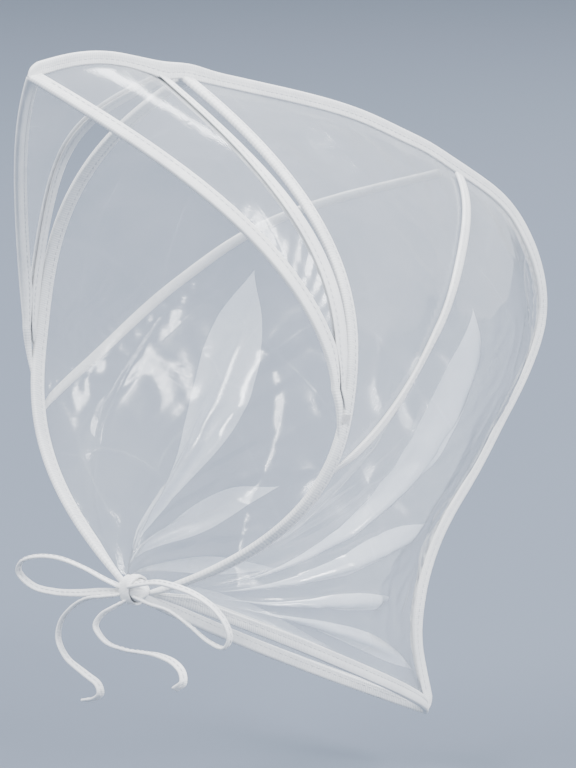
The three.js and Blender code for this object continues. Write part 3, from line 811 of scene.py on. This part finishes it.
def crumple(points, outward, seed, sides, wave_height=FILM_WAVE, pucker_height=PUCKER):
    """Moves film off its plain surface: soft waves inside, and puckers along its seams."""
    far, down, over = edge_distance(points, sides)
    bare = far - BINDING_WIDTH
    free = smoothstep(bare / FREE_REACH)
    wave = noise_at(points, 38, seed) + 0.22 * noise_at(points, 15, seed + 3)
    ridge = 1 - np.abs(noise_at(points, 27, seed + 7)) * 2.2
    ridge = np.clip(ridge, 0, 1) ** 3
    drawn = np.exp(-np.maximum(bare, 0) / PUCKER_REACH) * smoothstep((bare + 1) / 3)
    phase = 2 * np.pi * (down + over) / PUCKER_PITCH + 5 * noise_at(points, 40, seed + 11)
    uneven = 0.6 + 0.6 * noise_at(points, 30, seed + 5)
    move = wave_height * free * (wave + 0.5 * ridge) + pucker_height * drawn * np.sin(phase) * uneven
    return points + outward * move[..., None]


def film_piece(name, grid, uvs, node, held, rests_on, folds=()):
    """A film panel from a grid of points. Its folds are not used."""
    rows, columns = grid.shape[:2]
    film = new_mesh(name, grid.reshape(-1, 3), grid_faces(rows, columns), uvs.reshape(-1, 2) * MM)
    dress(film, FILM_LOOK, "film", node)
    return film


def hood_film(rib, share, seed):
    """Points of a crumpled panel of the hood on the wearer's left, and their uvs."""
    rib, share = np.broadcast_arrays(rib, share)
    f = surface_frame(hood, rib, share)
    rise = pleat_height(rib, share) + small_folds(rib, share, seed) - ridge_sag(rib, share)
    points = f["point"] + f["outward"] * rise[..., None]
    points = crumple(points, f["outward"], seed, ("bottom", "front", "rear"))
    uvs = np.stack([arc(f["point"], 1), arc(f["point"], 0)], -1)
    return points, uvs


def ridge_sag(rib, share):
    """How far the film sinks beside the ridge at the back, where it hangs from the centre tape."""
    here = smoothstep((rib - 0.42) / 0.14) * smoothstep((0.98 - rib) / 0.14)
    return RIDGE_SAG * here * np.sin(np.pi * np.clip((1 - share) / 0.42, 0, 1)) ** 0.9


def small_folds(rib, share, seed):
    """Fine folds that fan from the chin corner between the pleats."""
    fade = np.sin(np.pi * np.clip((share - 0.05) / 0.75, 0, 1)) ** 1.2
    fan = np.sin(2 * np.pi * (rib * 17 + 0.4 * np.sin(4 * share + seed)))
    fan = fan + 0.6 * np.sin(2 * np.pi * (rib * 29 + 0.7 * share + seed))
    room = smoothstep((rib - SEAM_RIB) / 0.2) * smoothstep((1 - rib) / 0.05)
    return FOLD_HEIGHT * fade * fan * room


def crown_film(seed):
    share = np.linspace(CROWN_START, 1, RIB_ROWS)[:, None]
    rib = back_seam(share) * np.linspace(0, 1, CROWN_COLUMNS)[None]
    return hood_film(rib, share, seed)


def back_rows(share):
    """Row of the back panel's grid, from 0 to 1, at a share of the rib."""
    return ((share - FILM_START) / (1 - FILM_START)) ** (1 / ROW_POWER)


def back_film(seed):
    share = (FILM_START + (1 - FILM_START) * np.linspace(0, 1, RIB_ROWS) ** ROW_POWER)[:, None]
    start = back_seam(share)
    rib = start + (1 - start) * np.linspace(0, 1, BACK_COLUMNS)[None]
    return hood_film(rib, share, seed)


def sample(grid, row, column):
    """Points of a grid at rows and columns that run from 0 to 1."""
    y = np.clip(row, 0, 1) * (grid.shape[0] - 1)
    x = np.clip(column, 0, 1) * (grid.shape[1] - 1)
    i = np.minimum(y.astype(int), grid.shape[0] - 2)
    j = np.minimum(x.astype(int), grid.shape[1] - 2)
    f, g = (y - i)[..., None], (x - j)[..., None]
    near = grid[i, j] * (1 - g) + grid[i, j + 1] * g
    far = grid[i + 1, j] * (1 - g) + grid[i + 1, j + 1] * g
    return near * (1 - f) + far * f


def petal(film, pleat, spread):
    """A pleat laid over the film, widest past its middle and pointed at both ends."""
    start, end, first, last, bend, half, _ = pleat
    run = np.linspace(0, 1, PETAL_ROWS)[:, None]
    off = np.linspace(-1, 1, PETAL_COLUMNS)[None]
    share = first + (last - first) * (0.02 + 0.96 * run)
    width = half * spread * np.sin(np.pi * run**1.2) ** 1.25 * (0.45 + 0.55 * run)
    rib = start + (end - start) * run**bend + width * off
    seam = back_seam(share)
    row, column = back_rows(share + 0 * off), (rib - seam) / (1 - seam)
    points = sample(film, row, column)
    step = 0.01
    normal = np.cross(
        sample(film, row, column + step) - sample(film, row, column - step),
        sample(film, row + step, column) - sample(film, row - step, column),
    )
    lift = 0.35 + 0.9 * np.clip(1 - off**2, 0, 1) * np.sin(np.pi * run) * (1 - 0.5 * off)
    return points + unit(normal) * lift[..., None]


def visor_film():
    t = np.linspace(SMALL, 1, VISOR_ROWS)[:, None]
    across = np.linspace(0, 1, VISOR_COLUMNS)[None]
    f = surface_frame(visor, across, t)
    whole = np.concatenate([f["point"], f["point"][::-1][1:] * FLIP])
    outward = np.concatenate([f["outward"], f["outward"][::-1][1:] * FLIP])
    uvs = np.stack([arc(whole, 1), arc(whole, 0)], -1)
    return crumple(whole, outward, 9, ("front", "rear"), VISOR_WAVE, VISOR_PUCKER), uvs


def make_film():
    for seed, (side, turn) in enumerate(SIDES.items(), 1):
        points, uvs = crown_film(seed)
        film_piece(
            f"crown_film_{side}", points * turn, uvs, f"crown_{side}", "stretched", ["face_tape"]
        )
        points, uvs = back_film(seed)
        folds = []
        for k, (pleat, spread) in enumerate(zip(PLEATS, PETAL_WIDTHS), 1):
            shape = petal(points, pleat, spread) * turn
            faces = grid_faces(PETAL_ROWS, PETAL_COLUMNS)
            place_on = np.stack([arc(shape, 1), arc(shape, 0)], -1).reshape(-1, 2) * MM
            fold = new_mesh(f"pleat_{side}_{k}", shape.reshape(-1, 3), faces, place_on)
            # Each pleat gets the whiter pleat film, which is partly a painted highlight.
            folds.append(dress(fold, PLEAT_LOOK_WITH_PAINTED_HIGHLIGHT, "film"))
        film_piece(
            f"back_film_{side}", points * turn, uvs, f"back_{side}", "gathered", ["face_tape"], folds
        )
    film_piece("visor_film", *visor_film(), "visor", "stretched", ["visor_rim_tape"])


# Bindings

def binding_section(steps=7):
    """Folded tape: (share of the width, distance past the film's edge, height)."""
    turn = np.linspace(np.pi / 2, 3 * np.pi / 2, steps)
    hollow = SLOT * 0.8
    upper = [
        (1, 0.2, OUTER * 0.72), (1, 0.0, OUTER * 0.94), (0.92, 0, OUTER), (0.78, 0, OUTER - 0.04),
        (STITCH_SHARE, 0, OUTER - GROOVE), (0.46, 0, OUTER), (0.25, 0, OUTER + 0.05),
        (0.1, 0, OUTER + 0.03),
    ]
    lower = [(share, past, -height) for share, past, height in reversed(upper)]
    outer = [(0, -CLEARANCE + BINDING_EDGE * math.cos(a), OUTER * math.sin(a)) for a in turn]
    inner = [(0, CLEARANCE * (math.cos(a) - 0.5), hollow * math.sin(a)) for a in turn[::-1]]
    return np.array([
        *upper, *outer, *lower,
        (1, 0, -hollow), (0.5, 0, -hollow), *inner, (0.5, 0, hollow), (1, 0, hollow),
    ])


def edge_rings(surface, edge, along, section):
    """Rings of a folded binding on one half of an edge."""
    turn = -1 if edge else 1
    outer = surface_frame(surface, float(edge), along)
    room = np.linalg.norm(surface(0 * along, along) - surface(0 * along + 1, along), axis=-1)
    width = np.minimum(BINDING_WIDTH, room * (CORNER_PART if surface is hood else TEMPLE_PART))
    inner = surface_frame(surface, edge + turn * width / outer["rate"], along)
    rings = []
    for share, past, height in section:
        f = {k: outer[k] + (inner[k] - outer[k]) * share for k in ("point", "across", "outward")}
        rings.append(f["point"] + unit(f["across"]) * turn * past + unit(f["outward"]) * height)
    return np.stack(rings, 1)


def folded_binding(name, node, surface, edge, along, end_path, end_size):
    """A binding over one edge of a surface on both sides of the hood, with its stitches."""
    section = binding_section()
    left = edge_rings(surface, edge, along, section)
    left[-1, :, 0] = 0
    left = np.concatenate([tuck(left[0], end_path, end_size)[::-1], left])
    rings = np.concatenate([left, left[::-1][1:] * FLIP])
    binding = ring_mesh(name, rings, WEAVE_STEP)
    dress(binding, TAPE_LOOK, "binding", node)
    grooves = [(STITCH_SHARE, 0, h * (OUTER - GROOVE)) for h in (1, -1)]
    sewn = along[2:-3]
    lines = edge_rings(surface, edge, sewn, grooves)
    beside = edge_rings(surface, edge, sewn, [(1, 0, OUTER)])[:, 0]
    rows = []
    for k in range(2):
        line = lines[:, k]
        up = unit(line - lines[:, 1 - k])
        across = unit(beside - line)
        across = unit(across - up * dot(across, up))
        rows.extend(stitch_row(line * turn, up * turn, across * turn) for turn in SIDES.values())
    stitch_piece(name + "_stitches", rows, "binding")


def beside_face(share, inward, height):
    """Point near the face edge: so far in from it over the film, and so high."""
    f = surface_frame(hood, 0.0, np.array(share))
    return f["point"] + f["across"] * inward + f["outward"] * height


def make_bindings():
    t = np.linspace(SMALL, 1, HALF_STEPS)
    face = np.linspace(FACE_START, 1, HALF_STEPS)
    hem = np.linspace(FILM_START, 1, HALF_STEPS)
    rim_end = [
        beside_face(TEMPLE - down, inward, height)
        for down, inward, height in ((0.035, -4.6, 0.1), (0.070, -2.2, 0.5), (0.105, 0.6, 0.9))
    ]
    base_end = [
        beside_face(TEMPLE - down, inward, height)
        for down, inward, height in ((0.025, -1.4, 0.5), (0.055, 1.2, 0.9))
    ]
    folded_binding("visor_rim_tape", "visor_rim_binding", visor, 1, t, rim_end, 0.45)
    folded_binding("visor_base_tape", "visor_base_binding", visor, 0, t, base_end, 0.45)
    face_end = [(7.4, 8.0, 1.8), (5.0, 6.0, 2.2)]
    hem_end = [(8.2, 11.2, 0.6), (6.6, 8.6, 1.4), (4.6, 6.4, 2.0)]
    folded_binding("face_tape", "face_binding", hood, 0, face, face_end, 0.5)
    folded_binding("hem_tape", "hem_binding", hood, 1, hem, hem_end, 0.5)


def seam_section():
    """Outline of the back seam's tape: distance from its middle, and height."""
    edge = SEAM_TAPE_WIDTH / 2
    low, high = SLOT, SLOT + SEAM_TAPE_WALL
    return [
        (-edge, low), (-edge - 0.2, (low + high) / 2), (-edge, high - 0.1), (-edge * 0.7, high),
        (0, high + 0.05), (edge * 0.7, high), (edge, high - 0.1), (edge + 0.2, (low + high) / 2),
        (edge, low), (0, low),
    ]


def back_seam_tape():
    """Flat tapes over the seams between the crown and the back, narrow where they start."""
    share = np.linspace(SEAM_TAPE_FROM, SEAM_TAPE_TO, HALF_STEPS)
    f = surface_frame(hood, back_seam(share), share)
    full = smoothstep((share - share[0]) / 0.05)[:, None]
    rings = np.stack([
        f["point"] + f["across"] * out * (0.6 + 0.4 * full) + f["outward"] * height * (0.4 + 0.6 * full)
        for out, height in seam_section()
    ], 1)
    sewn_from = 18
    point, across, outward = (f[k][sewn_from:] for k in ("point", "across", "outward"))
    top = outward * (SLOT + SEAM_TAPE_WALL)
    rows = [stitch_row(point + across * out + top, outward, across, start) for out, start in SEAM_ROWS]
    for side, turn in SIDES.items():
        points = rings * turn
        if side == "right":
            points = points[:, ::-1]
        tape = ring_mesh(f"back_seam_tape_{side}", points, WEAVE_STEP)
        dress(tape, TAPE_LOOK, "binding", f"back_seam_binding_{side}")
        sewn = [(p * turn, q) for p, q in rows]
        stitch_piece(f"back_seam_stitches_{side}", sewn, "binding")


def smoothed(points, reach):
    """A run of points evened out over so many neighbours each way, with its ends kept."""
    spread = np.hanning(2 * reach + 3)[1:-1]
    before = 2 * points[0] - points[reach:0:-1]
    after = 2 * points[-1] - points[-2:-reach - 2:-1]
    padded = np.concatenate([before, points, after])
    return np.stack([np.convolve(padded[:, k], spread / spread.sum(), "valid") for k in range(3)], 1)


def ridge_lines():
    """The foot and the crest of the centre tape, from the visor's tip to the hem."""
    across = np.linspace(FIN_START, 0, 60)
    rib = np.linspace(0, FIN_END, 330)
    top = [
        surface_frame(visor, across, np.ones_like(across)),
        surface_frame(hood, rib, np.ones_like(rib)),
    ]
    point = np.concatenate([f["point"] for f in top])
    along = np.concatenate([f["along"] for f in top])
    point[:, 0] = 0
    ridge = run_of(point)
    up = unit(np.cross(np.array([1.0, 0, 0]), ridge))
    slope = unit(along - ridge * dot(along, ridge))
    crossings = [visor_base(np.array(1.0)), hood(0.0, np.array(1.0))]
    nearest = np.min([np.linalg.norm(point - c, axis=1) for c in crossings], axis=0)
    near = smoothstep((nearest - 1.5 * BINDING_WIDTH) / (1.5 * BINDING_WIDTH))
    foot = (SLOT + (BINDING_WALL + 2 * CLEARANCE) * (1 - near)) / np.abs(slope[:, 0])
    run = arc(point, 0)
    even = np.linspace(0, run[-1], int(run[-1] / TAPE_STEP))
    low, high = (
        np.stack([np.interp(even, run, line[:, k]) for k in range(3)], 1)
        for line in (point - up * 0.3, point + up * (foot[:, None] + FIN_RISE))
    )
    return smoothed(low, 3), smoothed(high, 13)


def centre_tape():
    """The tape that stands on the ridge, from the visor's tip to the nape, with its stitches."""
    low, high = ridge_lines()
    half = FIN_THICKNESS / 2
    wall = half * 0.92
    outline = np.array([
        (half, 0.0), (half, 0.14), (wall, 0.30), (wall - 0.14, 0.42), (wall, 0.54), (half, 0.72),
        (half * 0.92, 0.86), (half * 0.62, 0.96), (0.0, 1.0),
    ])
    outline = np.concatenate([outline, outline[::-1][1:] * np.array([-1, 1])])
    sway = 0.35 * noise_at(low, 24, 4)
    rings = (
        low[:, None]
        + place(1.0, 0, 0) * (outline[None, :, :1] + sway[:, None, None] * outline[None, :, 1:])
        + (high - low)[:, None] * outline[None, :, 1:]
    )
    up, ridge = unit(high - low), run_of(high)
    ends = []
    for ring, way, rise in ((rings[0], -ridge[0], up[0]), (rings[-1], ridge[-1], up[-1])):
        middle = ring.mean(0)
        ends.append(tuck(ring, [middle + way * 3.6 - rise * 0.8, middle + way * 6.2 - rise * 3.4], 0.5))
    whole = np.concatenate([ends[0][::-1], rings, ends[1]])
    tape = ring_mesh("centre_tape", whole[:, ::-1], TAPE_STEP)
    dress(tape, TAPE_LOOK, "binding", "centre_seam_binding")
    rows = []
    for side in (1, -1):
        line = rings[:, 3 if side > 0 else -4]
        out = np.tile(np.array([float(side), 0, 0]), (len(line), 1))
        rows.append(stitch_row(line[2:-2], out[2:-2], up[2:-2]))
    stitch_piece("centre_tape_stitches", rows, "binding")


def temple_tacks():
    """Close stitches across the tape ends that hold each end of the visor to the face edge."""
    parts = []
    radius = THREAD / 2 * np.array([0.4, 1, 1, 1, 1, 1, 1, 1, 0.4])
    for down in np.linspace(0.050, 0.066, 9):
        start = beside_face(TEMPLE - down, -3.4, OUTER - 0.1)
        stop = beside_face(TEMPLE - down - 0.001, 4.0, OUTER + 0.05)
        up = beside_face(TEMPLE - down, 0, 1) - beside_face(TEMPLE - down, 0, 0)
        line = np.linspace(start, stop, 9) + up * 0.35 * np.sin(np.linspace(0, np.pi, 9))[:, None]
        side = unit(np.cross(up, stop - start))
        rings = thread(line, side, up, radius)
        parts.append((rings.reshape(-1, 3), grid_faces(len(line), THREAD_SIDES, closed=True)))
    for side, turn in SIDES.items():
        stitch_piece(f"temple_tack_{side}", [(p * turn, q) for p, q in parts], "binding")


# Floor and lights

def stage_material():
    n = Nodes("stage")
    n.shader.inputs["Base Color"].default_value = FLOOR_COLOUR
    n.shader.inputs["Roughness"].default_value = 0.9
    return n.material


def make_stage():
    mesh = bpy.data.meshes.new("floor")
    low = CAD_BOX[0].z - FLOOR_GAP
    corners = [(x * FLOOR_HALF, y * FLOOR_HALF, low) for x, y in ((-1, -1), (1, -1), (1, 1), (-1, 1))]
    mesh.from_pydata(corners, [], [(0, 1, 2, 3)])
    floor = bpy.data.objects.new("floor", mesh)
    bpy.context.scene.collection.objects.link(floor)
    mesh.materials.append(stage_material())


def area_light(name, azimuth, elevation, distance, size, power):
    data = bpy.data.lights.new(name, "AREA")
    data.shape = "RECTANGLE"
    data.size, data.size_y = size
    data.energy = power
    light = bpy.data.objects.new(name, data)
    bpy.context.scene.collection.objects.link(light)
    aim(light, azimuth, elevation, distance)


def make_lights():
    for light in LIGHTS:
        area_light(*light)
    world = bpy.data.worlds.new("world")
    world.use_nodes = True
    sky = world.node_tree.nodes["Background"]
    sky.inputs["Color"].default_value = SKY_COLOUR
    sky.inputs["Strength"].default_value = SKY_STRENGTH
    bpy.context.scene.world = world


# The whole scene

make_camera()
knot_roots = []
for tie_name, tie_route in TIE_ROUTES.items():
    knot_roots.extend(make_tie(tie_name, tie_route))
make_knot(knot_roots)
make_bindings()
back_seam_tape()
centre_tape()
temple_tacks()
make_film()
make_stage()
make_lights()

scene = bpy.context.scene
scene.cycles.transparent_max_bounces = 32
scene.view_settings.view_transform = "AgX"
scene.view_settings.look = "AgX - Medium High Contrast"
scene.view_settings.exposure = EXPOSURE
